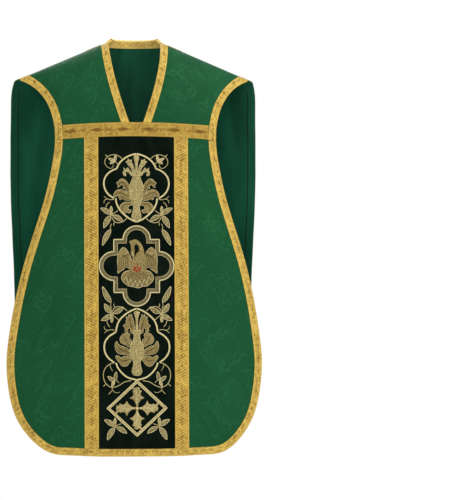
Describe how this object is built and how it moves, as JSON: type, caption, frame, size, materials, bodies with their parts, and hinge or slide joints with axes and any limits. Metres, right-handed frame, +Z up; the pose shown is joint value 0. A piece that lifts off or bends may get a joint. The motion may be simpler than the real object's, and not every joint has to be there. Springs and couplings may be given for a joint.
{
  "type": "chasuble",
  "caption": "Fiddleback liturgical chasuble: stiff lined green damask front and back joined at the shoulders, gold galloon edges, embroidered velvet orphrey and back cross.",
  "frame": {"origin": "where the garment is carried on the shoulders: middle plane, level just under the foot of the neck, 1060 mm above the hem", "axes": "+X to the right when the front is faced, -Y the way the front faces, +Z up"},
  "size_m": [0.6774, 0.2853, 1.113],
  "materials": {
    "damask": "woven figured damask with a soft sheen",
    "lining": "plain satin, smooth sheen",
    "interlining": "stiff plain canvas",
    "velvet": "short dense pile, near black",
    "galloon": "woven metallic braid with plain borders",
    "embroidery": "padded satin stitch and couched metallic cord"
  },
  "bodies": {
    "root": {"front_chest_galloon": "galloon", "yoke_lining_left": "lining", "yoke_lining_right": "lining", "yoke_interlining_left": "interlining", "yoke_interlining_right": "interlining", "yoke_panel_left": "damask", "yoke_panel_right": "damask", "armhole_galloon_left": "galloon", "armhole_galloon_right": "galloon", "neck_galloon_left": "galloon", "neck_galloon_right": "galloon", "neck_galloon_back": "galloon", "back_lining": "lining", "back_interlining": "interlining", "back_panel": "damask", "back_edge_galloon": "galloon", "back_orphrey_velvet": "velvet", "back_orphrey_galloon_upper_left": "galloon", "back_orphrey_galloon_upper_right": "galloon", "back_orphrey_galloon_lower_left": "galloon", "back_orphrey_galloon_lower_right": "galloon", "back_applique_upper": "embroidery", "back_applique_lamb": "embroidery", "back_applique_arm_left": "embroidery", "back_applique_arm_right": "embroidery", "back_applique_middle": "embroidery", "back_applique_small_diamond": "embroidery", "back_applique_lower": "embroidery", "back_applique_diamond": "embroidery"},
    "front": {"front_lining": "lining", "front_interlining": "interlining", "front_panel": "damask", "front_edge_galloon": "galloon", "front_orphrey_velvet": "velvet", "front_orphrey_galloon_left": "galloon", "front_orphrey_galloon_right": "galloon", "front_applique_upper": "embroidery", "front_applique_pelican": "embroidery", "front_applique_lower": "embroidery", "front_applique_diamond": "embroidery"}
  },
  "joints": [
    {"name": "front_swing", "type": "hinge", "parent": "root", "child": "front", "pos_m": [0, -0.122, -0.222], "axis": [-1, 0, 0], "range_deg": [0, 50]}
  ]
}
